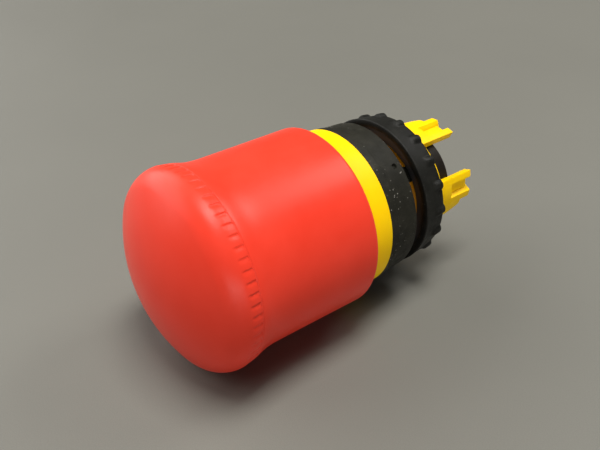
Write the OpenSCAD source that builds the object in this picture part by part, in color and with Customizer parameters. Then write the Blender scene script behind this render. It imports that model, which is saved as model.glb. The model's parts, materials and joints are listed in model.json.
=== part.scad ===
// Pull-to-release emergency stop actuator for a round panel hole.
// Each piece is drawn standing on the Z axis, with z = 0 on the panel seat, the head at
// negative z and the rear at positive z. to_row() then lays that axis along +Y.

/* [Head] */
// Diameter of the mushroom head at its widest
head_d = 38; // [37.6:0.1:38.4]
// Distance from the panel seat to the widest ring of the dome
wide_height = 40; // [39.8:0.1:40.4]
// Radius of the rounded shoulder of the dome
shoulder_r = 5.4; // [5:0.1:5.8]
// Radius of the crown of the dome
crown_r = 32; // [30:1:36]
// Wall of the dome
dome_wall = 2.2; // [2.1:0.05:2.3]
// Diameter of the straight part of the pull skirt
skirt_d = 35.4; // [35.2:0.1:35.8]
// How far the head goes in when it is pressed
press_travel = 5.5; // [5:0.1:5.6]

/* [Body] */
// Diameter of the yellow collar that the skirt slides over
collar_d = 31.4; // [31:0.1:31.4]
// Diameter of the barrel that goes through the panel hole
barrel_d = 22; // [21.8:0.1:22.1]
// Bore of the barrel
barrel_bore_d = 18.34; // [18.3:0.01:18.4]
// Length of the barrel behind the panel seat
barrel_len = 10.9; // [10.6:0.1:11.2]
// Clock angle of the orientation key, from +Z towards +X
key_clock = 48; // [0:1:90]
// Width of the orientation key
key_w = 3; // [2.8:0.1:3.1]

/* [Rear lugs] */
// How far the lugs reach behind the panel seat
lug_reach = 19.5; // [18.8:0.1:20]
// Thickness of the thin web between the ribs of a lug
lug_web = 0.9; // [0.8:0.1:1.1]

/* [Ring nut] */
// Diameter of the nut at its front edge
nut_d = 30.2; // [29.8:0.1:30.4]
// Length of the nut
nut_len = 5.27; // [5:0.01:5.5]
// Gap between the panel seat and the nut as it is left
nut_gap = 2.63; // [2.4:0.01:3]
// Number of grip bumps round the rear edge of the nut
bump_count = 18; // [12:1:24]

/* [Latch] */
// Number of latch pawls
pawl_count = 3; // [3]
// Width of a latch pawl
pawl_w = 4.6; // [4.2:0.1:4.6]
// Rise of the latch cone on the stem for each millimetre of travel
latch_slope = 0.2; // [0.15:0.01:0.2]

/* [Springs] */
// Turns of the main spring
main_turns = 4; // [3:1:4]
// Wire diameter of the main spring
main_wire = 1.1; // [0.9:0.1:1.1]

/* [Hidden] */
$fn = 96;

fit = 0.05;          // gap between pieces that are fixed to each other
run_fit = 0.06;      // radial gap between a shaft and the hole that it slides in
reach = 30;          // longer than any cut needs to be

// head
head_r = head_d / 2;
skirt_r = skirt_d / 2;
wide_z = -wide_height;
seam_z = wide_z + 1.6;
rim_z = -12.1;
skirt_bore_r = collar_d / 2 + 0.4;
spigot_r = 16.5;
spigot_bore_r = 14.2;
spigot_z = wide_z - 1;

// core and its screw
core_front_z = spigot_z - 1.6;
core_rear_z = core_front_z + 3.2;
hub_r = 6.2;
hub_z = core_rear_z + 6.4;
screw_r = 1.5;
screw_head_r = 3;

// stem
stem_r = 4;
stem_front_z = core_front_z + 1.6;
flange_r = 8.6;
flange_t = 1.5;
spigot_rear_r = 3.5;
tail_r = 2.95;

// body
collar_r = collar_d / 2;
collar_wall = 2;
chamber_r = collar_r - collar_wall;
barrel_r = barrel_d / 2;
bore_r = barrel_bore_d / 2;
collar_front_z = -26;
bezel_z = -7.1;
chamber_floor_z = -9.5;
thread_end_z = 9.4;
spigot_outer_r = barrel_r - 0.1;
key_floor_r = barrel_r - 1.2;
key_end_z = 6;
nose_r = 12.7;
nose_len = 0.7;

// latch
carrier_front_z = -16.5;
carrier_bore_r = 7.5;
pawl_front_z = -15;
pawl_h = 4;
pawl_rear_z = pawl_front_z + pawl_h;
pawl_outer_r = 12.6;
pawl_gap = 0.1;
cone_rear_r = 5.9;
cone_len = pawl_h + press_travel;
cone_front_r = cone_rear_r - latch_slope * cone_len;
pawl_spring_hole_r = 1.5;
pawl_spring_floor_r = 9.4;
flange_z = chamber_floor_z + 0.3;

// plunger sleeve
sleeve_front_z = 2;
sleeve_web_z = 4.2;
sleeve_seat_z = 6.6;
sleeve_rear_z = 14.8;
sleeve_r = bore_r - run_fit;
sleeve_bore_r = 7.2;
clip_z = sleeve_web_z + fit;
clip_t = 0.55;

// bezel and gasket
bezel_r = 15.1;
gasket_in_r = 12.8;
gasket_out_r = 14.3;
gasket_t = 1.3;
bezel_back_z = -0.15;

// nut
nut_r = nut_d / 2;
nut_rear_z = nut_gap + nut_len;
nut_bore_r = barrel_r + run_fit;
nut_mouth_r = 13.55;
nut_mouth_z = nut_gap + 1.72;
slip_t = 0.6;
bump_r = 0.95;

// lugs, as angles from the plane of the orientation key
rib_in = 22.5;
rib_out = 30;
block_in = 41.5;
block_lean = 4;
block_out = 53.5;
step_out = 60;
ramp_out = 70;
ramp_top_z = 17;
ramp_slope = 58;
root_z = 13.8;

// Points along an arc about centre c, from angle a to angle b.
function arc(c, r, a, b, n = 8) =
    [for (i = [0:n]) let (t = a + (b - a) * i / n) [c[0] + r * cos(t), c[1] + r * sin(t)]];

// Turns a piece drawn along Z so that its axis lies along +Y, with clock angle 0 at +Z.
module to_row() rotate([-90, 0, 0]) children();

// The point at a radius and a clock angle.
function at_angle(r, angle) = [r * sin(angle), -r * cos(angle)];

// Places what is drawn along +X at a clock angle about the axis.
module at_clock(angle) rotate([0, 0, angle - 90]) children();

// A ring between two radii and two stations.
module ring(r_in, r_out, z0, z1) {
    translate([0, 0, z0]) difference() {
        cylinder(r = r_out, h = z1 - z0);
        translate([0, 0, -1]) cylinder(r = r_in, h = z1 - z0 + 2);
    }
}

// The coil of a spring along Z, as one swept tube.
function coil_frame(mean_r, z0, z1, turns, t) =
    [mean_r * cos(360 * turns * t), mean_r * sin(360 * turns * t), z0 + (z1 - z0) * t];

module coil(mean_r, wire_r, z0, z1, turns, steps, sides) {
    rings = turns * steps;
    points = [for (i = [0:rings]) let (t = i / rings, p = coil_frame(mean_r, z0, z1, turns, t))
        for (k = [0:sides - 1]) let (a = 360 * k / sides, b = 360 * turns * t)
            [p[0] + wire_r * cos(a) * cos(b), p[1] + wire_r * cos(a) * sin(b), p[2] + wire_r * sin(a)]];
    walls = [for (i = [0:rings - 1]) for (k = [0:sides - 1]) let (n = (k + 1) % sides)
        [i * sides + k, (i + 1) * sides + k, (i + 1) * sides + n, i * sides + n]];
    front = [[for (k = [0:sides - 1]) k]];
    rear = [[for (k = [sides - 1:-1:0]) rings * sides + k]];
    polyhedron(points = points, faces = concat(walls, front, rear), convexity = 10);
}

// Outline of the dome at a depth inside its outer surface, from the pole to the widest ring.
function dome_curve(depth) =
    let (shoulder_x = head_r - shoulder_r,
         crown_z = wide_z + sqrt(pow(crown_r - shoulder_r, 2) - pow(shoulder_x, 2)),
         turn = asin(shoulder_x / (crown_r - shoulder_r)))
    concat(arc([0, crown_z], crown_r - depth, -90, turn - 90, 6),
           arc([shoulder_x, wide_z], shoulder_r - depth, turn - 90, 0, 8));

module mushroom_dome() {
    outer = concat(dome_curve(0), [[head_r - 0.25, seam_z]]);
    inner = concat(dome_curve(dome_wall), [[head_r - dome_wall, seam_z]]);
    count = len(inner);
    color("red") to_row() rotate_extrude()
        polygon(concat(outer, [for (i = [1:count]) inner[count - i]]));
}

module pull_skirt() {
    lip = 0.8;
    neck = [[head_r - 0.25, seam_z + fit], [18.37, seam_z + 1.4], [17.95, seam_z + 2.9],
            [skirt_r + 0.08, seam_z + 4.4], [skirt_r, seam_z + 6.9], [skirt_r, rim_z - lip]];
    inside = [[skirt_bore_r, rim_z], [skirt_bore_r, seam_z + 2], [spigot_bore_r, seam_z + 0.1],
              [spigot_bore_r, spigot_z], [spigot_r, spigot_z], [spigot_r, seam_z + fit]];
    color("red") to_row() rotate_extrude()
        polygon(concat(neck, arc([skirt_r - lip, rim_z - lip], lip, 0, 90, 5), inside));
}

module head_core() {
    color("dimgray") to_row() rotate_extrude() polygon([
        [screw_r + 0.1, core_front_z], [15.2, core_front_z], [15.2, spigot_z - fit],
        [spigot_bore_r - fit, spigot_z - fit], [spigot_bore_r - fit, core_rear_z],
        [hub_r, core_rear_z], [hub_r, hub_z], [stem_r + fit, hub_z], [stem_r + fit, stem_front_z],
        [screw_r + 0.1, stem_front_z]]);
}

module core_screw() {
    head_z = core_front_z - fit;
    color("silver") to_row() difference() {
        union() {
            translate([0, 0, head_z - 1.7]) cylinder(r = screw_head_r, h = 1.7);
            translate([0, 0, head_z - 0.5]) cylinder(r = screw_r, h = 8);
        }
        for (turn = [0, 90]) rotate([0, 0, turn])
            translate([-1.8, -0.4, head_z - 2.7]) cube([3.6, 0.8, 2]);
    }
}

module actuator_stem() {
    cone_z = pawl_rear_z - cone_len;
    color("whitesmoke") to_row() rotate_extrude() polygon([
        [screw_r + fit, stem_front_z + fit], [stem_r, stem_front_z + fit], [stem_r, cone_z],
        [cone_front_r, cone_z], [cone_rear_r, pawl_rear_z], [cone_rear_r, flange_z], [flange_r, flange_z],
        [flange_r, flange_z + flange_t], [spigot_rear_r, flange_z + flange_t],
        [spigot_rear_r, sleeve_front_z - fit], [tail_r, sleeve_front_z - fit], [tail_r, clip_z],
        [tail_r - 0.55, clip_z], [tail_r - 0.55, clip_z + clip_t + 2 * fit],
        [tail_r, clip_z + clip_t + 2 * fit], [tail_r, clip_z + 1.6], [0, clip_z + 1.6],
        [0, stem_front_z + 8], [screw_r + fit, stem_front_z + 8]]);
}

module plunger_sleeve() {
    color("darkslategray") to_row() rotate_extrude() polygon([
        [tail_r + fit, sleeve_front_z], [sleeve_r, sleeve_front_z], [sleeve_r, sleeve_rear_z],
        [sleeve_bore_r, sleeve_rear_z], [sleeve_bore_r, sleeve_seat_z], [6, sleeve_seat_z],
        [6, sleeve_web_z], [tail_r + fit, sleeve_web_z]]);
}

module stem_clip() {
    inner_r = tail_r - 0.55 + fit;
    color("gray") to_row() translate([0, 0, clip_z + fit]) rotate_extrude(angle = 290)
        translate([inner_r, 0]) square([4.6 - inner_r, clip_t]);
}

// Cuts away a wedge of the tail tube, everywhere above z0.
module wedge_cut(from, to, z0) {
    far = 20;
    at_clock(from) translate([0, 0, z0]) rotate_extrude(angle = to - from) square([far, far]);
}

// What is cut from the tail tube beside one lug; side is 1 or -1 of the key plane.
module lug_cuts(side) {
    web_r = bore_r + lug_web;
    recess = [side * (rib_out + 0.2), side * (block_in - 0.2)];
    at_clock(side * step_out) translate([0, 0, ramp_top_z]) rotate([-side * ramp_slope, 0, 0])
        translate([0, side > 0 ? 0.1 : -6.7, 0]) cube([reach, 6.6, 3.5]);
    translate([0, 0, root_z]) linear_extrude(reach) polygon([
        for (i = [0:6]) at_angle(web_r, side * (rib_out + (block_in - rib_out) * i / 6)),
        at_angle(spigot_outer_r, side * (block_in + block_lean)),
        at_angle(spigot_outer_r + 2, side * (block_in + block_lean)),
        at_angle(spigot_outer_r + 2, side * rib_out)]);
    wedge_cut(min(recess), max(recess), lug_reach - 0.8);
}

module body_housing() {
    color("gold") to_row() difference() {
        rotate_extrude() polygon([
            [chamber_r, collar_front_z], [collar_r, collar_front_z], [collar_r, bezel_z],
            [barrel_r, bezel_z], [barrel_r, thread_end_z], [spigot_outer_r, thread_end_z],
            [spigot_outer_r, lug_reach], [bore_r, lug_reach], [bore_r, chamber_floor_z],
            [chamber_r, chamber_floor_z]]);
        rotate([0, 0, key_clock]) for (half = [0, 180]) rotate([0, 0, half]) {
            wedge_cut(-rib_in, rib_in, barrel_len);
            wedge_cut(block_out, 180 - block_out, ramp_top_z);
            wedge_cut(ramp_out, 180 - ramp_out, barrel_len);
            for (side = [-1, 1]) lug_cuts(side);
        }
        at_clock(key_clock) translate([key_floor_r, -key_w / 2 - 0.1, bezel_z])
            cube([3, key_w + 0.2, key_end_z + 0.2 - bezel_z]);
    }
}

module guide_cap() {
    lid_z = collar_front_z - 1;
    seal_z = collar_front_z + 0.3;
    color("dimgray") to_row() rotate_extrude() polygon([
        [stem_r + run_fit, lid_z], [collar_r - 0.1, lid_z], [collar_r - 0.1, collar_front_z - fit],
        [chamber_r - fit, collar_front_z - fit], [chamber_r - fit, carrier_front_z - fit],
        [12, carrier_front_z - fit], [12, collar_front_z + 2.5], [7, collar_front_z + 2.5],
        [7, collar_front_z + 4.5], [stem_r + run_fit, collar_front_z + 4.5],
        [stem_r + run_fit, seal_z + 1.7], [stem_r + 1.75, seal_z + 1.7], [stem_r + 1.75, seal_z],
        [stem_r + run_fit, seal_z]]);
}

module stem_seal() {
    color("black") to_row() rotate_extrude()
        translate([stem_r + 0.9, collar_front_z + 1.15]) circle(r = 0.82, $fn = 32);
}

module bezel_ring() {
    color("black") to_row() {
        rotate_extrude() polygon([
            [barrel_r + fit, bezel_z + fit], [15.5, bezel_z + fit], [15.65, bezel_z + 0.2],
            [15.55, bezel_z + 1.8], [15.35, bezel_z + 2], [bezel_r, -0.5], [bezel_r - 0.3, bezel_back_z],
            [gasket_out_r + fit, bezel_back_z], [gasket_out_r + fit, -gasket_t - fit],
            [gasket_in_r - fit, -gasket_t - fit], [gasket_in_r - fit, bezel_back_z],
            [barrel_r + fit, bezel_back_z]]);
        intersection() {
            at_clock(key_clock) translate([key_floor_r + fit, -key_w / 2, bezel_z + fit])
                cube([3, key_w, key_end_z - bezel_z - fit]);
            union() {
                translate([0, 0, bezel_z]) cylinder(r = barrel_r - fit, h = key_end_z - bezel_z);
                translate([0, 0, bezel_z]) cylinder(r = gasket_in_r - 0.5, h = bezel_back_z - bezel_z);
                translate([0, 0, bezel_back_z - 0.5]) cylinder(r = nose_r, h = nose_len + 0.5 - bezel_back_z);
            }
        }
    }
}

module panel_gasket() {
    color("black") to_row() ring(gasket_in_r, gasket_out_r, -gasket_t, 0);
}

module latch_carrier() {
    color("ivory") to_row() difference() {
        ring(carrier_bore_r, chamber_r - fit, carrier_front_z, chamber_floor_z - fit);
        for (i = [0:pawl_count - 1]) at_clock(pawl_clock(i))
            translate([carrier_bore_r - 2, -pawl_w / 2 - fit, pawl_front_z - fit])
                cube([reach, pawl_w + 2 * fit, pawl_h + 2 * fit]);
    }
}

function pawl_clock(i) = i * 360 / pawl_count;

module latch_pawl(i) {
    front_r = cone_rear_r - latch_slope * pawl_h + pawl_gap;
    color("tan") to_row() at_clock(pawl_clock(i)) difference() {
        translate([front_r - 1.5, -pawl_w / 2, pawl_front_z])
            cube([pawl_outer_r - front_r + 1.5, pawl_w, pawl_h]);
        translate([0, 0, pawl_front_z - 1]) cylinder(
            r1 = front_r - latch_slope, r2 = cone_rear_r + pawl_gap + latch_slope, h = pawl_h + 2);
        translate([pawl_spring_floor_r, 0, pawl_front_z + pawl_h / 2])
            rotate([0, 90, 0]) cylinder(r = pawl_spring_hole_r, h = reach);
    }
}

module pawl_spring(i) {
    wire_r = 0.18;
    color("silver") to_row() at_clock(pawl_clock(i)) translate([0, 0, pawl_front_z + pawl_h / 2])
        rotate([0, 90, 0])
            coil(1.15, wire_r, pawl_spring_floor_r + wire_r + fit, chamber_r - wire_r - fit, 5, 12, 6);
}

module main_spring() {
    wire_r = main_wire / 2;
    color("silver") to_row() coil(
        8.2, wire_r, core_rear_z + wire_r + fit, collar_front_z - 1 - wire_r - fit, main_turns, 24, 8);
}

module nut_slip_ring() {
    color("dimgray") to_row()
        ring(nut_bore_r, nut_mouth_r - fit, nut_mouth_z - fit - slip_t, nut_mouth_z - fit);
}

module ring_nut() {
    color("black") to_row() {
        rotate_extrude() polygon([
            [nut_mouth_r, nut_gap], [nut_r - 0.2, nut_gap], [nut_r, nut_gap + 0.2],
            [nut_r - 0.7, nut_rear_z - 0.3], [nut_r - 1, nut_rear_z], [nut_bore_r, nut_rear_z],
            [nut_bore_r, nut_mouth_z], [nut_mouth_r, nut_mouth_z]]);
        for (i = [0:bump_count - 1]) at_clock(6 + i * 360 / bump_count)
            translate([nut_r - 0.05 - bump_r, 0, nut_rear_z - 1.9]) cylinder(r = bump_r, h = 1.7);
    }
}

mushroom_dome();
pull_skirt();
head_core();
core_screw();
actuator_stem();
plunger_sleeve();
stem_clip();
body_housing();
guide_cap();
stem_seal();
bezel_ring();
panel_gasket();
latch_carrier();
latch_pawl(0);  // latch_pawl_a
latch_pawl(1);  // latch_pawl_b
latch_pawl(2);  // latch_pawl_c
pawl_spring(0);  // pawl_spring_a
pawl_spring(1);  // pawl_spring_b
pawl_spring(2);  // pawl_spring_c
main_spring();
nut_slip_ring();
ring_nut();
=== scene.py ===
"""Pull-to-release emergency stop button lying on a grey table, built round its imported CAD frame."""

import json
import math

import bmesh
import bpy
from mathutils import Matrix, Vector


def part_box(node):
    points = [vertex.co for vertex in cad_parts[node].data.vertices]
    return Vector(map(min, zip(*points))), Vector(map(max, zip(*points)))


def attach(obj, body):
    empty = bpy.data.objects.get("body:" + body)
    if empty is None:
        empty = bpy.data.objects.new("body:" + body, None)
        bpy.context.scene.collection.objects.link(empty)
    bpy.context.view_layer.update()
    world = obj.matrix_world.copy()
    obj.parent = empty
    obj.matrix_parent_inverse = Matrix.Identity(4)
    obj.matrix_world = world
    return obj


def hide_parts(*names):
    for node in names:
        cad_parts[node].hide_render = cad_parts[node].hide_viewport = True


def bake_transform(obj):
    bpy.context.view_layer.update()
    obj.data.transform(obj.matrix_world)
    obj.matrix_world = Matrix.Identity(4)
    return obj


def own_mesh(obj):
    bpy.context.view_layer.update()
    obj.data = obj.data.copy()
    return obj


MM = 0.001
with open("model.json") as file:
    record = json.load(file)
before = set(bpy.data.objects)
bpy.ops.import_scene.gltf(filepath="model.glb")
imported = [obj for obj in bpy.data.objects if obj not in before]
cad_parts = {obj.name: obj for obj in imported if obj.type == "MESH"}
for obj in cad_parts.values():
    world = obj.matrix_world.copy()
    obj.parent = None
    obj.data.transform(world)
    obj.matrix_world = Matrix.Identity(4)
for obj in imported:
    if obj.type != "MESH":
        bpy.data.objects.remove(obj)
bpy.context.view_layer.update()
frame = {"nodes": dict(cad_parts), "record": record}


def node_box(node):
    """Lowest and highest corner of a CAD node, in millimetres."""
    low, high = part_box(node)
    return [c / MM for c in low], [c / MM for c in high]


# ---------------------------------------------------------------- sizes, from the frame (mm)
_, (HEAD_R, SEAM_Y, _) = node_box("mushroom_dome")
(_, SPIGOT_Y, _), (_, RIM_Y, _) = node_box("pull_skirt")
(_, COLLAR_Y, _), (COLLAR_R, LUG_END_Y, _) = node_box("body_housing")
(_, BEZEL_Y, _), (_, KEY_END_Y, _) = node_box("bezel_ring")
(_, GASKET_Y, _), (GASKET_R, _, _) = node_box("panel_gasket")
(_, SLEEVE_Y, _), (SLEEVE_R, SLEEVE_END_Y, _) = node_box("plunger_sleeve")
(_, NUT_Y, _), (_, NUT_END_Y, _) = node_box("ring_nut")
(_, SLIP_Y, _), (SLIP_R, SLIP_END_Y, _) = node_box("nut_slip_ring")
(_, SPRING_Y, _), (SPRING_R, SPRING_END_Y, _) = node_box("main_spring")
MOUNTS = {m["name"]: m for m in frame["record"]["mounts"]}
BARREL_R = MOUNTS["panel_barrel"]["dims"]["r_mm"]
SPIGOT_R = MOUNTS["adapter_lugs"]["dims"]["r_mm"]

# ---------------------------------------------------------------- sizes not in the frame (mm)
WIDE_Y = SEAM_Y - 1.6  # station of the head's widest ring
SHOULDER_R = 5.4  # the dome's two arcs
CROWN_R = 32.0
SKIRT_R = 17.7
LIP_R = 0.9  # rounding of the skirt's rim
TOOTH_COUNT = 60
CHAMBER_R = 13.7  # hollow inside the collar
CHAMBER_FLOOR_Y = -9.5
BARREL_BORE_R = SLEEVE_R + 0.06
BARREL_END_Y = 10.9  # where the lugs begin
THREAD_END_Y = 9.4
THREAD_PITCH = 1.5
KEY_CLOCK = 48.0  # clock angle of the orientation key, in degrees
KEY_FLOOR_R = 9.8
KEY_WIDTH = 3.0
BACK_Y = -0.15  # rear face of the bezel
BUMP_COUNT = 18
PAWL_Y = -13.0


# ---------------------------------------------------------------- mesh helpers
BEVEL_ANGLE = 0.6  # edges that bend by more radians than this are bevelled


def polar(radius, y, clock):
    """A point at a radius, a station and a clock angle in degrees from +Z towards +X, in metres."""
    angle = math.radians(clock)
    return Vector((radius * math.sin(angle), y, radius * math.cos(angle))) * MM


def arc(centre_r, centre_y, radius, start, end, steps):
    """Outline points (r, y) along an arc; angles in degrees from +r towards +y."""
    turns = [math.radians(start + (end - start) * i / steps) for i in range(steps + 1)]
    return [(centre_r + radius * math.cos(t), centre_y + radius * math.sin(t)) for t in turns]


def rounded(corners, radius, steps=4):
    """A closed outline whose corners (r, y[, own radius]) are rounded off."""
    outline = []
    count = len(corners)
    for i, corner in enumerate(corners):
        here = Vector(corner[:2])
        before = Vector(corners[i - 1][:2]) - here
        after = Vector(corners[(i + 1) % count][:2]) - here
        size = corner[2] if len(corner) > 2 else radius
        size = min(size, before.length * 0.45, after.length * 0.45)
        if size < 1e-6:
            outline.append(tuple(here))
            continue
        a = here + before.normalized() * size
        b = here + after.normalized() * size
        for k in range(steps + 1):
            t = k / steps
            outline.append(tuple(a * (1 - t) ** 2 + here * 2 * t * (1 - t) + b * t * t))
    return outline


def finish_mesh(name, bm, sharp=35.0):
    """Turns a bmesh into a smooth-shaded object whose edges over an angle stay sharp."""
    bmesh.ops.remove_doubles(bm, verts=bm.verts, dist=1e-7)
    bmesh.ops.recalc_face_normals(bm, faces=bm.faces)
    mesh = bpy.data.meshes.new(name)
    bm.to_mesh(mesh)
    bm.free()
    for face in mesh.polygons:
        face.use_smooth = True
    mesh.set_sharp_from_angle(angle=math.radians(sharp))
    piece = bpy.data.objects.new(name, mesh)
    bpy.context.scene.collection.objects.link(piece)
    return piece


def even_clocks(count):
    """Clock angles at equal steps round the axis."""
    return [360.0 * i / count for i in range(count)]


def lathe(name, outline, clocks=None, shape=None, closed=True, sharp=35.0):
    """Turns an outline of (r, y) points round the axis.

    shape may move a point: (r, y, clock) to (r, y)."""
    clocks = clocks or even_clocks(192)
    bm = bmesh.new()
    rings = []
    for clock in clocks:
        ring = []
        for r, y in outline:
            if shape:
                r, y = shape(r, y, clock)
            ring.append(bm.verts.new(polar(max(r, 0.0), y, clock)))
        rings.append(ring)
    span = len(outline) if closed else len(outline) - 1
    for i, ring in enumerate(rings):
        following = rings[(i + 1) % len(rings)]
        for k in range(span):
            n = (k + 1) % len(outline)
            corners = [ring[k], ring[n], following[n], following[k]]
            if outline[k][0] < 1e-6 and outline[n][0] < 1e-6:
                continue
            bm.faces.new(corners)
    return finish_mesh(name, bm, sharp)


def smooth(x):
    """Eases from 0 to 1 as x runs from 0 to 1."""
    x = min(max(x, 0.0), 1.0)
    return x * x * (3 - 2 * x)


def bevelled_sweep(name, columns, bevel):
    """A closed bar through columns of points, each in the same order, with its edges bevelled."""
    bm = bmesh.new()
    columns = [[bm.verts.new(point) for point in column] for column in columns]
    count = len(columns[0])
    for a, b in zip(columns, columns[1:]):
        for k in range(count):
            n = (k + 1) % count
            bm.faces.new([a[k], a[n], b[n], b[k]])
    bm.faces.new(columns[0])
    bm.faces.new(list(reversed(columns[-1])))
    bmesh.ops.recalc_face_normals(bm, faces=bm.faces)
    edges = [e for e in bm.edges if e.calc_face_angle() > BEVEL_ANGLE]
    bmesh.ops.bevel(bm, geom=edges, offset=bevel * MM, segments=2, profile=0.6, affect="EDGES")
    return finish_mesh(name, bm, 40)


def block(name, clock, r0, r1, y0, y1, width, bevel=0.12):
    """A bevelled bar along the axis at a clock angle, with its faces bent round the axis."""
    steps = 8
    columns = []
    for i in range(steps + 1):
        x = width * (i / steps - 0.5)
        corners = ((r0, y0), (r1, y0), (r1, y1), (r0, y1))
        columns.append([polar(r, y, clock + math.degrees(math.asin(x / r))) for r, y in corners])
    return bevelled_sweep(name, columns, bevel)


def join(name, pieces):
    """Joins pieces into one object."""
    bm = bmesh.new()
    for piece in pieces:
        bm.from_mesh(piece.data)
        bpy.data.objects.remove(piece)
    return finish_mesh(name, bm, 40)


# ---------------------------------------------------------------- materials
def new_material(name):
    """A node material: itself, its nodes and links, its shader and the object coordinates."""
    material = bpy.data.materials.new(name)
    material.use_nodes = True
    nodes, links = material.node_tree.nodes, material.node_tree.links
    shader = nodes["Principled BSDF"]
    place = nodes.new("ShaderNodeTexCoord")
    return material, nodes, links, shader, place.outputs["Object"]


def noise_node(nodes, links, place, scale, detail=3.0, rough=0.55):
    """A noise texture with its scale in features per metre."""
    texture = nodes.new("ShaderNodeTexNoise")
    texture.inputs["Scale"].default_value = scale
    texture.inputs["Detail"].default_value = detail
    texture.inputs["Roughness"].default_value = rough
    links.new(place, texture.inputs["Vector"])
    return texture.outputs["Fac"]


def ramp(nodes, links, value, stops):
    """A colour ramp over (position, colour) stops."""
    node = nodes.new("ShaderNodeValToRGB")
    elements = node.color_ramp.elements
    while len(elements) > len(stops):
        elements.remove(elements[-1])
    while len(elements) < len(stops):
        elements.new(1.0)
    for element, (position, colour) in zip(elements, stops):
        element.position = position
        element.color = (*colour, 1.0) if len(colour) == 3 else colour
    links.new(value, node.inputs["Fac"])
    return node.outputs["Color"]


def span(nodes, links, value, low, high, start=0.3, end=0.7):
    """Maps a texture value from start..end onto low..high."""
    node = nodes.new("ShaderNodeMapRange")
    ends = (("From Min", start), ("From Max", end), ("To Min", low), ("To Max", high))
    for socket, number in ends:
        node.inputs[socket].default_value = number
    links.new(value, node.inputs["Value"])
    return node.outputs["Result"]


def bump(nodes, links, height, strength, distance):
    """A normal from a height texture; distance in millimetres."""
    node = nodes.new("ShaderNodeBump")
    node.inputs["Strength"].default_value = strength
    node.inputs["Distance"].default_value = distance * MM
    links.new(height, node.inputs["Height"])
    return node.outputs["Normal"]


def mix(nodes, links, factor, first, second, how="MIX"):
    """Mixes two colours, each a socket or a tuple, by a socket or number."""
    node = nodes.new("ShaderNodeMix")
    node.data_type = "RGBA"
    node.blend_type = how
    for socket, value in (("Factor", factor), ("A", first), ("B", second)):
        target = [s for s in node.inputs if s.name == socket and s.enabled][0]
        if isinstance(value, bpy.types.NodeSocket):
            links.new(value, target)
        elif isinstance(value, tuple):
            target.default_value = (*value, 1.0)
        else:
            target.default_value = value
    return [s for s in node.outputs if s.enabled][0]


def moulded(name, dark, light, rough, specular=0.5, grain=0.03, grain_scale=9000, mottle=160,
            painted_shade=None):
    """Moulded plastic: slow colour mottle, patchy gloss, a fine grain and an optional band of painted
    shade.

    painted_shade is a colour of painted shade and the two stations along the axis, in millimetres,
    that it lies between."""
    material, nodes, links, shader, place = new_material(name)
    slow = noise_node(nodes, links, place, mottle, 4)
    colour = ramp(nodes, links, slow, [(0.3, dark), (0.7, light)])
    # Painted shade: a darker band along the axis stands in for the shadow in the gap between the
    # bezel and the nut.
    if painted_shade:
        shade_colour, start, end = painted_shade
        parts = nodes.new("ShaderNodeSeparateXYZ")
        links.new(place, parts.inputs["Vector"])
        along = span(nodes, links, parts.outputs["Y"], 0.0, 1.0, start * MM, end * MM)
        none, full = (0.0, 0.0, 0.0), (1.0, 1.0, 1.0)
        shade_band = ramp(nodes, links, along, [(0.0, none), (0.06, full), (0.9, full), (1.0, none)])
        colour = mix(nodes, links, shade_band, colour, shade_colour)
    links.new(colour, shader.inputs["Base Color"])
    patch = noise_node(nodes, links, place, mottle * 4, 3)
    links.new(span(nodes, links, patch, *rough), shader.inputs["Roughness"])
    fine = noise_node(nodes, links, place, grain_scale, 2)
    links.new(bump(nodes, links, fine, 0.5, grain), shader.inputs["Normal"])
    shader.inputs["Specular IOR Level"].default_value = specular
    return material


FILM_COLOUR = (0.11, 0.10, 0.08)
DUST_COLOUR = (0.42, 0.40, 0.36)


def dusty_black(name, base, rough, specks, grain=0.05, film=0.1):
    """Matt black moulding with dust specks in patches, a thin film of dust and a fine grain."""
    material, nodes, links, shader, place = new_material(name)
    slow = noise_node(nodes, links, place, 220, 5)
    dark = tuple(c * 0.75 for c in base)
    pale = tuple(c * 1.35 for c in base)
    body = ramp(nodes, links, slow, [(0.3, dark), (0.7, pale)])
    haze = span(nodes, links, noise_node(nodes, links, place, 420, 6, 0.7), 0.0, film, 0.5, 0.8)
    body = mix(nodes, links, haze, body, FILM_COLOUR)
    cells = nodes.new("ShaderNodeTexVoronoi")
    cells.inputs["Scale"].default_value = 1500
    links.new(place, cells.inputs["Vector"])
    dots = span(nodes, links, cells.outputs["Distance"], 1.0, 0.0, 0.10, 0.2)
    keep = span(nodes, links, noise_node(nodes, links, place, 260, 3), 0.0, specks, 0.51, 0.63)
    product = nodes.new("ShaderNodeMath")
    product.operation = "MULTIPLY"
    links.new(dots, product.inputs[0])
    links.new(keep, product.inputs[1])
    colour = mix(nodes, links, product.outputs[0], body, DUST_COLOUR)
    links.new(colour, shader.inputs["Base Color"])
    patch = noise_node(nodes, links, place, 700, 4)
    links.new(span(nodes, links, patch, *rough), shader.inputs["Roughness"])
    fine = noise_node(nodes, links, place, 8000, 3)
    links.new(bump(nodes, links, fine, 0.6, grain), shader.inputs["Normal"])
    shader.inputs["Specular IOR Level"].default_value = 0.18
    return material


def metal(name, colour, rough):
    """Metal with a fine, uneven surface."""
    material, nodes, links, shader, place = new_material(name)
    fine = noise_node(nodes, links, place, 4000, 3, 0.6)
    dark = tuple(c * 0.8 for c in colour)
    links.new(ramp(nodes, links, fine, [(0.3, dark), (0.7, colour)]), shader.inputs["Base Color"])
    links.new(span(nodes, links, fine, *rough), shader.inputs["Roughness"])
    links.new(bump(nodes, links, fine, 0.3, 0.01), shader.inputs["Normal"])
    shader.inputs["Metallic"].default_value = 1.0
    return material


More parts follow.
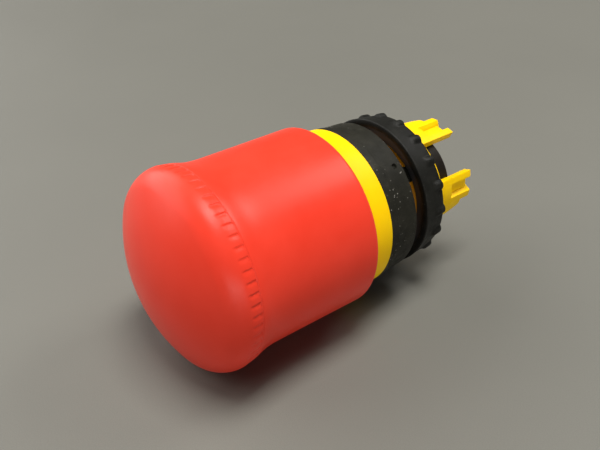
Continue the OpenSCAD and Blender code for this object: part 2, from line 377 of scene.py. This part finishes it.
RED_TONES = (0.80, 0.044, 0.021), (0.84, 0.053, 0.028)
YELLOW_TONES = (0.98, 0.60, 0.001), (1.0, 0.64, 0.002)
YELLOW_FINISH = {"rough": (0.4, 0.5), "specular": 0.12, "grain": 0.02, "grain_scale": 8000,
                 "mottle": 200}
# Painted shade: a dark amber laid over the threaded barrel in place of the shadow between the bezel
# and the nut.
THREAD_PAINTED_SHADE = (0.50, 0.20, 0.002), -0.6, THREAD_END_Y - 0.1
RED_FINISH = {"rough": (0.32, 0.36), "specular": 0.2, "grain": 0.02, "grain_scale": 7000,
              "mottle": 120}
RED = moulded("red_moulding", *RED_TONES, **RED_FINISH)
YELLOW = moulded("yellow_moulding", *YELLOW_TONES, **YELLOW_FINISH)
# The body's yellow carries the band of painted shade over the thread.
BODY_YELLOW_PAINTED_SHADE = moulded("body_yellow_painted_shade", *YELLOW_TONES, **YELLOW_FINISH, painted_shade=THREAD_PAINTED_SHADE)
BLACK = dusty_black("black_moulding", (0.013, 0.0125, 0.0085), (0.5, 0.68), 0.8, film=0.13)
NUT_BLACK = dusty_black("nut_moulding", (0.008, 0.008, 0.0065), (0.46, 0.6), 0.12, film=0.07)
SLEEVE_BLACK = dusty_black("sleeve_moulding", (0.007, 0.005, 0.003), (0.5, 0.6), 0.1, film=0.03)
RUBBER = dusty_black("black_rubber", (0.012, 0.012, 0.012), (0.7, 0.85), 0.3, grain=0.08)
DARK_NYLON = moulded("dark_nylon", (0.03, 0.03, 0.033), (0.05, 0.05, 0.055), (0.4, 0.55))
PALE_NYLON = moulded("pale_nylon", (0.66, 0.63, 0.55), (0.74, 0.72, 0.66), (0.35, 0.5))
TAN_NYLON = moulded("tan_nylon", (0.42, 0.31, 0.18), (0.52, 0.41, 0.25), (0.35, 0.5))
SPRING_STEEL = metal("spring_steel", (0.55, 0.55, 0.54), (0.25, 0.4))
PLATED_STEEL = metal("plated_steel", (0.68, 0.67, 0.62), (0.2, 0.35))


def dress(piece, material, body, slot, *nodes):
    """Gives a new piece its material and body, and hides the CAD nodes that it stands for; the slot
    argument is not used.
    """
    piece.data.materials.clear()
    piece.data.materials.append(material)
    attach(piece, body)
    if nodes:
        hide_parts(*nodes)
    return piece


# ---------------------------------------------------------------- camera
def add_camera():
    """A phone-like view from in front, above and to the side of the head."""
    data = bpy.data.cameras.new("camera")
    data.sensor_width = 36.0
    data.lens = 48.0
    data.clip_start = 0.005
    data.clip_end = 20.0
    camera = bpy.data.objects.new("camera", data)
    forward = Vector((-0.6543, 0.5184, -0.5506)).normalized()
    right = forward.cross(Vector((0, 0, 1))).normalized()
    upward = right.cross(forward)
    turn = Matrix((right, upward, -forward)).transposed()
    camera.matrix_world = Matrix.Translation((0.0993, -0.0949, 0.0831)) @ turn.to_4x4()
    bpy.context.scene.collection.objects.link(camera)
    bpy.context.scene.camera = camera


# ---------------------------------------------------------------- head
def dome_outline(depth):
    """Crown and shoulder arcs of the dome at a depth in its skin, from pole to widest ring."""
    shoulder_x = HEAD_R - SHOULDER_R
    crown_y = WIDE_Y + math.sqrt((CROWN_R - SHOULDER_R) ** 2 - shoulder_x**2)
    turn = math.degrees(math.asin(shoulder_x / (CROWN_R - SHOULDER_R)))
    crown = arc(0.0, crown_y, CROWN_R - depth, -90, turn - 90, 22)
    return crown + arc(shoulder_x, WIDE_Y, SHOULDER_R - depth, turn - 90, 0, 18)[1:]


def tooth_clocks():
    """Clock angles with lines where the wall and the ramp of every notch begin and end."""
    pitch = 360.0 / TOOTH_COUNT
    parts = (0.0, 0.05, 0.1, 0.16, 0.3, 0.45, 0.6, 0.8)
    return [pitch * (i + part) for i in range(TOOTH_COUNT) for part in parts]


def build_dome():
    """Dome with a band of shallow notches along its rear edge.

    Each notch is a short wall and a long ramp."""
    depth = 0.14
    wall = 2.2
    front = WIDE_Y - 0.55
    rear = SEAM_Y - 0.2
    pitch = 360.0 / TOOTH_COUNT
    wall_start, wall_end, ramp_end = 0.05, 0.16, 0.60

    def notch(r, y, clock):
        """Sinks the skin inside a notch."""
        if r < HEAD_R - 1.2 or y < front + 0.05 or y > rear - 0.05:
            return r, y
        part = (clock % pitch) / pitch
        cut = smooth((part - wall_start) / (wall_end - wall_start))
        cut *= 1.0 - smooth((part - wall_end) / (ramp_end - wall_end))
        return r - depth * cut, y

    skin_end = [(HEAD_R - 0.03, WIDE_Y + 0.3), (HEAD_R - 0.1, WIDE_Y + 0.7),
                (HEAD_R - 0.18, rear - 0.1), (HEAD_R - 0.2, rear),
                (HEAD_R - 0.24, SEAM_Y - 0.06), (HEAD_R - 0.27, SEAM_Y - 0.01)]
    inside = list(reversed(dome_outline(wall)))
    outline = dome_outline(0.0) + skin_end + [(HEAD_R - wall, SEAM_Y - 0.01)] + inside
    dome = lathe("mushroom_dome_shell", outline, tooth_clocks(), notch, closed=False, sharp=40)
    dress(dome, RED, "head", "red_plastic", "mushroom_dome")


def build_skirt():
    """Skirt that flares towards the dome, with a rounded rim and a spigot that enters the dome."""
    bore = COLLAR_R + 0.4
    spigot_bore = 14.2
    spigot = 16.5
    flare = 1.05
    flare_length = 2.8

    def neck(y):
        """Radius of the skirt's outer skin at a station."""
        return SKIRT_R + flare * math.exp(-(((y - SEAM_Y) / flare_length) ** 1.6))

    outer = [(neck(SEAM_Y) - 0.03, SEAM_Y + 0.01), (neck(SEAM_Y + 0.05), SEAM_Y + 0.05)]
    outer += [(neck(SEAM_Y + d), SEAM_Y + d) for d in [0.15 + 0.25 * i for i in range(34)]]
    outer += [(SKIRT_R, y) for y in (-26.0, -22.0, -18.0)]
    outer += arc(SKIRT_R - LIP_R, RIM_Y - LIP_R, LIP_R, 0, 90, 8)
    inner = [(bore + 0.1, RIM_Y), (bore, RIM_Y - 0.1), (bore, SEAM_Y + 2.0),
             (spigot_bore, SEAM_Y + 0.1), (spigot_bore, SPIGOT_Y), (spigot, SPIGOT_Y),
             (spigot, SEAM_Y + 0.01)]
    skirt = lathe("pull_skirt_shell", outer + inner, even_clocks(256), sharp=50)
    dress(skirt, RED, "head", "red_plastic", "pull_skirt")


def build_sleeve():
    """Plunger sleeve: a tube with a wider mouth, a bore, a clip seat and a hole for the stem."""
    mouth, bore, seat, hole = 7.9, 7.2, 6.0, 3.0
    bore_floor = 6.6
    seat_floor = 4.2
    corners = [(hole, SLEEVE_Y), (SLEEVE_R, SLEEVE_Y), (SLEEVE_R, SLEEVE_END_Y, 0.25),
               (mouth, SLEEVE_END_Y, 0.1), (mouth, SLEEVE_END_Y - 0.7, 0.05),
               (bore, SLEEVE_END_Y - 0.9, 0.1), (bore, bore_floor), (seat, bore_floor),
               (seat, seat_floor), (hole, seat_floor)]
    sleeve = lathe("plunger_sleeve_tube", rounded(corners, 0.08), even_clocks(128))
    dress(sleeve, SLEEVE_BLACK, "head", "black_plastic", "plunger_sleeve")


# ---------------------------------------------------------------- body
def key_angle(clock):
    """Angle from the orientation key, from -180 to 180 degrees."""
    return (clock - KEY_CLOCK + 180.0) % 360.0 - 180.0


def build_collar_and_barrel():
    """Collar, step and threaded barrel of the yellow body, with the key's groove."""
    half_groove = 8.2
    marks = [-half_groove - 0.2, -half_groove, half_groove, half_groove + 0.2]
    clocks = sorted(set(even_clocks(180)) | {(KEY_CLOCK + m) % 360 for m in marks})
    thread_y = [0.3 + 0.15 * i for i in range(61)]
    thread_depth = 0.42

    def thread(r, y, clock):
        """Cuts the thread and the key's groove into the barrel."""
        if r > BARREL_R + 0.2 or r < SPIGOT_R - 0.5 or y > THREAD_END_Y + 0.01:
            return r, y
        if y > 0.25:
            turn = ((y - THREAD_PITCH * clock / 360.0) / THREAD_PITCH) % 1.0
            crest = min(1.0, 2.2 * (1 - abs(2 * turn - 1)))
            fade = smooth((y - 0.25) / 1.0) * smooth((THREAD_END_Y - y) / 0.8)
            r = r - thread_depth * (1 - crest * fade)
        if abs(key_angle(clock)) < half_groove + 0.1 and y < KEY_END_Y + 0.1:
            r = min(r, KEY_FLOOR_R)
        return r, y

    collar_rear = BEZEL_Y - 0.05
    collar = [(CHAMBER_R, COLLAR_Y), (COLLAR_R, COLLAR_Y), (COLLAR_R, collar_rear, 0.12)]
    outline = rounded(collar, 0.15) + [(BARREL_R, collar_rear)] + [(BARREL_R, y) for y in thread_y]
    outline += [(SPIGOT_R, THREAD_END_Y + 0.02), (SPIGOT_R, BARREL_END_Y - 0.04),
                (SPIGOT_R - 0.04, BARREL_END_Y), (BARREL_BORE_R, BARREL_END_Y),
                (BARREL_BORE_R, CHAMBER_FLOOR_Y), (CHAMBER_R, CHAMBER_FLOOR_Y)]
    body = lathe("yellow_body", outline, clocks, thread, sharp=45)
    return dress(body, BODY_YELLOW_PAINTED_SHADE, "housing", "yellow_plastic", "body_housing")


def lug_part(side, half, angles, r_out, y_root, y_end, slope_end=None, lean=0.0):
    """One bevelled step of a lug between two angles from the key plane, in degrees.

    slope_end is the end height of the far side. lean says how many degrees later the near side
    starts at its outer radius than at the bore."""
    first, last = angles
    steps = max(3, int((last - first) / 1.5))
    columns = []
    for i in range(steps + 1):
        share = i / steps
        turns = [first + late + (last - first - late) * share for late in (0.0, lean)]
        inner, outer = (KEY_CLOCK + half + side * turn for turn in turns)
        end = y_end if slope_end is None else y_end + (slope_end - y_end) * share
        corners = ((BARREL_BORE_R, y_root, inner), (r_out, y_root, outer), (r_out, end, outer),
                   (BARREL_BORE_R, end, inner))
        columns.append([polar(*corner) for corner in corners])
    return bevelled_sweep("lug_part", columns, 0.1)


def build_lugs():
    """Four lugs, mirrored about the key plane.

    Each is a prong, a foot, a thin web, a leaning block, a step and a ramp."""
    root = BARREL_END_Y - 0.6
    foot = 13.8
    step, step_far = 17.0, 16.9
    outer = SPIGOT_R - 0.02
    for number, (side, half) in enumerate([(1, 0), (-1, 0), (1, 180), (-1, 180)]):
        parts = [
            lug_part(side, half, (22.5, 30), SPIGOT_R, root, LUG_END_Y, LUG_END_Y - 0.2),
            lug_part(side, half, (22.7, 46), SPIGOT_R, root, foot),
            lug_part(side, half, (29, 42.5), BARREL_BORE_R + 0.9, root, LUG_END_Y - 0.8),
            lug_part(side, half, (40.7, 53.5), SPIGOT_R, root, LUG_END_Y - 0.1,
                     LUG_END_Y - 0.3, lean=5.0),
            lug_part(side, half, (52.5, 60.3), outer, root, step, step_far),
            lug_part(side, half, (60, 69.8), outer, root, step_far, foot + 0.1),
        ]
        dress(join(f"rear_lug_{number + 1}", parts), YELLOW, "housing", "yellow_plastic")


def build_bezel():
    """Black bezel with its shoulder, the gasket's groove and one small dimple, and its key."""
    bore = BARREL_R + 0.05
    shoulder = BEZEL_Y + 1.9
    groove_in, groove_out, groove_floor = 12.75, 14.35, -1.35
    corners = [(bore, BEZEL_Y, 0), (15.62, BEZEL_Y, 0.25), (15.52, shoulder - 0.1, 0.1),
               (15.36, shoulder, 0.1), (15.1, BACK_Y - 0.2, 0.4), (14.75, BACK_Y, 0.2),
               (groove_out, BACK_Y, 0.05), (groove_out, groove_floor), (groove_in, groove_floor),
               (groove_in, BACK_Y, 0.05), (bore, BACK_Y, 0)]
    bezel = lathe("bezel_shell", rounded(corners, 0.05, 5), even_clocks(256))
    bm = bmesh.new()
    dimple_r, dimple_y, dimple_clock = 15.15, -2.0, 40
    inner, outer, length = 0.42 * MM, 0.7 * MM, 0.9 * MM
    turn = Matrix.Rotation(math.radians(dimple_clock), 4, "Y")
    place = Matrix.Translation(polar(dimple_r, dimple_y, dimple_clock)) @ turn
    bmesh.ops.create_cone(bm, cap_ends=True, segments=24, radius1=inner, radius2=outer,
                          depth=length, matrix=place)
    cutter = finish_mesh("dimple_cutter", bm)
    cut = bezel.modifiers.new("dimple", "BOOLEAN")
    cut.operation = "DIFFERENCE"
    cut.solver = "EXACT"
    cut.object = cutter
    depsgraph = bpy.context.evaluated_depsgraph_get()
    mesh = bpy.data.meshes.new_from_object(bezel.evaluated_get(depsgraph))
    bezel.modifiers.clear()
    mesh.set_sharp_from_angle(angle=math.radians(30))
    bezel.data = mesh
    bpy.data.objects.remove(cutter)
    dress(bezel, BLACK, "housing", "black_plastic", "bezel_ring")
    leg_r = KEY_FLOOR_R + 0.05
    nose_r = 12.7
    key = block("key_leg", KEY_CLOCK, leg_r, BARREL_R - 0.05, -6.0, KEY_END_Y, KEY_WIDTH)
    nose = block("key_nose", KEY_CLOCK, 10.5, nose_r, -0.5, 0.7, KEY_WIDTH, bevel=0.15)
    dress(join("orientation_key", [key, nose]), BLACK, "housing", "black_plastic")


def build_gasket():
    """Rubber ring with two sealing ribs, its rear face on the panel's plane."""
    inner = GASKET_R - 1.5
    dip = -0.15
    corners = [(inner, GASKET_Y), (GASKET_R, GASKET_Y), (GASKET_R, 0, 0.2),
               (GASKET_R - 0.4, 0, 0.1), (GASKET_R - 0.5, dip, 0.1), (GASKET_R - 0.9, dip, 0.1),
               (GASKET_R - 1.0, 0, 0.1), (inner, 0, 0.2)]
    gasket = lathe("gasket_ring", rounded(corners, 0.05))
    dress(gasket, RUBBER, "housing", "black_rubber", "panel_gasket")


# ---------------------------------------------------------------- nut
def build_nut():
    """Ring nut with rounded grip bumps round its rear edge, and the slip ring in its mouth."""
    bore = BARREL_R + 0.06
    mouth_r = 13.55
    mouth_y = NUT_Y + 1.72
    pitch = 360.0 / BUMP_COUNT
    half_bump = 3.4
    bump_height = 0.6
    bump_start = 5.3
    first_bump = 6.0

    def grip(r, y, clock):
        """Raises the skin into the grip bumps."""
        if r < mouth_r + 0.2:
            return r, y
        offset = abs((clock - first_bump + pitch / 2) % pitch - pitch / 2)
        if offset >= half_bump:
            return r, y
        rise = math.sqrt(1 - (offset / half_bump) ** 2)
        rise *= smooth((y - bump_start) / 1.0) * smooth((r - mouth_r - 0.2) / 0.5)
        return r + bump_height * rise, y

    mouth_edge = [(mouth_r, NUT_Y + 0.12), (mouth_r + 0.12, NUT_Y), (14.8, NUT_Y),
                  (14.92, NUT_Y + 0.05), (15.0, NUT_Y + 0.16)]
    side = [(14.97, 2.95), (14.84, 3.9), (14.72, 4.8), (14.66, 5.3), (14.6, 5.7), (14.55, 6.0),
            (14.5, 6.3), (14.45, 6.7), (14.4, 7.1), (14.36, 7.4)]
    rear = [(14.28, 7.68), (14.12, 7.82), (13.9, NUT_END_Y), (13.5, NUT_END_Y),
            (bore + 0.3, NUT_END_Y)]
    inside = [(bore, NUT_END_Y - 0.3), (bore, mouth_y + 0.1), (bore + 0.1, mouth_y),
              (mouth_r - 0.1, mouth_y), (mouth_r, mouth_y - 0.1)]
    clocks = even_clocks(BUMP_COUNT * 20)
    nut = lathe("ring_nut_body", mouth_edge + side + rear + inside, clocks, grip, sharp=48)
    dress(nut, NUT_BLACK, "nut", "nut_plastic", "ring_nut")
    corners = [(bore, SLIP_Y), (SLIP_R, SLIP_Y), (SLIP_R, SLIP_END_Y), (bore, SLIP_END_Y)]
    slip = lathe("slip_ring_body", rounded(corners, 0.12))
    dress(slip, DARK_NYLON, "nut_ring", "dark_nylon", "nut_slip_ring")


# ---------------------------------------------------------------- springs
def coil_rise(share):
    """Rise along a coil, flatter over its end turns; both run from 0 to 1."""
    return share - 0.6 * math.sin(2 * math.pi * share) / (2 * math.pi)


def coil(name, mean_r, wire_r, start, end, turns, centre, axis_turn):
    """A wire coil with flatter end turns along local Z, turned and then moved to its centre."""
    bm = bmesh.new()
    steps_per_turn = 28
    steps = int(turns * steps_per_turn)
    sides = 12
    rings = []
    for i in range(steps + 1):
        share = i / steps
        along = start + (end - start) * coil_rise(share)
        angle = 2 * math.pi * turns * share
        out = Vector((math.cos(angle), math.sin(angle), 0))
        middle = out * mean_r + Vector((0, 0, along))
        ring = []
        for k in range(sides):
            around = 2 * math.pi * k / sides
            rise = Vector((0, 0, wire_r * math.sin(around)))
            point = middle + out * wire_r * math.cos(around) + rise
            ring.append(bm.verts.new(centre + axis_turn @ (point * MM)))
        rings.append(ring)
    for a, b in zip(rings, rings[1:]):
        for k in range(sides):
            bm.faces.new([a[k], a[(k + 1) % sides], b[(k + 1) % sides], b[k]])
    bm.faces.new(rings[0])
    bm.faces.new(list(reversed(rings[-1])))
    return finish_mesh(name, bm, 60)


def build_springs():
    """Main spring, built as a fixed coil, and three pawl springs between wall and pawl."""
    wire_r = 0.55
    low, high = SPRING_Y + wire_r, SPRING_END_Y - wire_r
    along_y = Matrix.Rotation(math.radians(-90), 3, "X")
    spring = coil("main_coil", SPRING_R - wire_r, wire_r, low, high, 4, Vector((0, 0, 0)), along_y)
    dress(spring, SPRING_STEEL, "housing", "spring_steel", "main_spring")
    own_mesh(spring)
    centre_of_pawl = Vector((0, PAWL_Y * MM, 0))
    small_r, small_wire_r = 1.15, 0.18
    inner, outer = 9.45, 13.65
    low, high = inner + small_wire_r, outer - small_wire_r
    for number, letter in enumerate("abc"):
        clock = 120.0 * number
        outward = polar(1.0, 0, clock).normalized()
        turn = Vector((0, 0, 1)).rotation_difference(outward).to_matrix()
        name = f"pawl_coil_{letter}"
        small = coil(name, small_r, small_wire_r, low, high, 5, centre_of_pawl, turn)
        small.data.materials.append(SPRING_STEEL)
        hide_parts(f"pawl_spring_{letter}")
        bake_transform(small)


# ---------------------------------------------------------------- pieces kept from the CAD
def dress_cad_nodes():
    """Gives each inner piece that keeps its CAD shape a procedural material."""
    looks = {
        "head_core": DARK_NYLON,
        "guide_cap": DARK_NYLON,
        "actuator_stem": PALE_NYLON,
        "latch_carrier": PALE_NYLON,
        "latch_pawl_a": TAN_NYLON,
        "latch_pawl_b": TAN_NYLON,
        "latch_pawl_c": TAN_NYLON,
        "core_screw": PLATED_STEEL,
        "stem_clip": SPRING_STEEL,
        "stem_seal": RUBBER,
    }
    for node, material in looks.items():
        for slot in frame["nodes"][node].material_slots:
            slot.link = "OBJECT"
            slot.material = material


# ---------------------------------------------------------------- table and light
def add_floor():
    """Fine-grained grey table top; the head and the skirt's rim both rest on it."""
    slope = (HEAD_R - SKIRT_R) / (RIM_Y - LIP_R - WIDE_Y)
    gap = 0.02
    bm = bmesh.new()
    bmesh.ops.create_grid(bm, x_segments=8, y_segments=8, size=1.5)
    floor = finish_mesh("table_top", bm)
    floor.rotation_euler = (math.atan(slope), 0, 0)
    floor.location = (0, WIDE_Y * MM, (-HEAD_R - gap) * MM)
    material, nodes, links, shader, place = new_material("table_grey")
    slow = noise_node(nodes, links, place, 14, 4)
    fine = noise_node(nodes, links, place, 5200, 2)
    speckle = span(nodes, links, fine, 0.0, 1.0)
    tone = mix(nodes, links, speckle, (0.136, 0.134, 0.116), (0.160, 0.158, 0.137))
    drift = ramp(nodes, links, slow, [(0.3, (0.94, 0.94, 0.94)), (0.7, (1.0, 1.0, 1.0))])
    links.new(mix(nodes, links, 1.0, tone, drift, "MULTIPLY"), shader.inputs["Base Color"])
    links.new(bump(nodes, links, fine, 0.4, 0.05), shader.inputs["Normal"])
    shader.inputs["Roughness"].default_value = 0.6
    floor.data.materials.append(material)


def area_light(name, direction, distance, size, power, colour=(1.0, 0.98, 0.95)):
    """A rectangular light that faces the middle of the object; metres and watts."""
    data = bpy.data.lights.new(name, "AREA")
    data.shape = "RECTANGLE"
    data.size, data.size_y = size
    data.energy = power
    data.color = colour
    data.spread = math.pi
    light = bpy.data.objects.new(name, data)
    aim = Vector((0, -0.02, 0))
    away = Vector(direction).normalized()
    light.location = aim + away * distance
    light.rotation_mode = "QUATERNION"
    light.rotation_quaternion = (-away).to_track_quat("-Z", "Y")
    bpy.context.scene.collection.objects.link(light)


def add_light():
    """Two soft panels above, a broad pale wall in front and a weak low fill from the side.

    The dim room adds little light; camera rays see a plain grey backdrop in its place."""
    area_light("overhead_panel", (0.09, 0.02, 0.98), 1.2, (0.62, 0.4), 16.0, (1.0, 0.98, 0.94))
    area_light("rear_panel", (0.12, 0.67, 0.75), 1.2, (0.5, 0.32), 5.0)
    area_light("front_wall", (-0.82, -0.42, 0.5), 1.8, (2.4, 1.6), 39.0)
    area_light("side_fill", (0.92, -0.37, 0.06), 1.8, (1.6, 0.22), 10.0)
    world = bpy.data.worlds.new("room")
    world.use_nodes = True
    nodes, links = world.node_tree.nodes, world.node_tree.links
    room = nodes["Background"]
    room.inputs["Color"].default_value = (0.86, 0.88, 0.92, 1.0)
    room.inputs["Strength"].default_value = 0.04
    backdrop = nodes.new("ShaderNodeBackground")
    backdrop.inputs["Color"].default_value = (0.30, 0.295, 0.265, 1.0)
    backdrop.inputs["Strength"].default_value = 1.0
    rays = nodes.new("ShaderNodeLightPath")
    choice = nodes.new("ShaderNodeMixShader")
    links.new(rays.outputs["Is Camera Ray"], choice.inputs["Fac"])
    links.new(room.outputs["Background"], choice.inputs[1])
    links.new(backdrop.outputs["Background"], choice.inputs[2])
    links.new(choice.outputs["Shader"], nodes["World Output"].inputs["Surface"])
    bpy.context.scene.world = world


bpy.context.scene.view_settings.view_transform = "Standard"
add_camera()
build_dome()
build_skirt()
build_sleeve()
build_collar_and_barrel()
build_lugs()
build_bezel()
build_gasket()
build_nut()
build_springs()
dress_cad_nodes()
add_floor()
add_light()
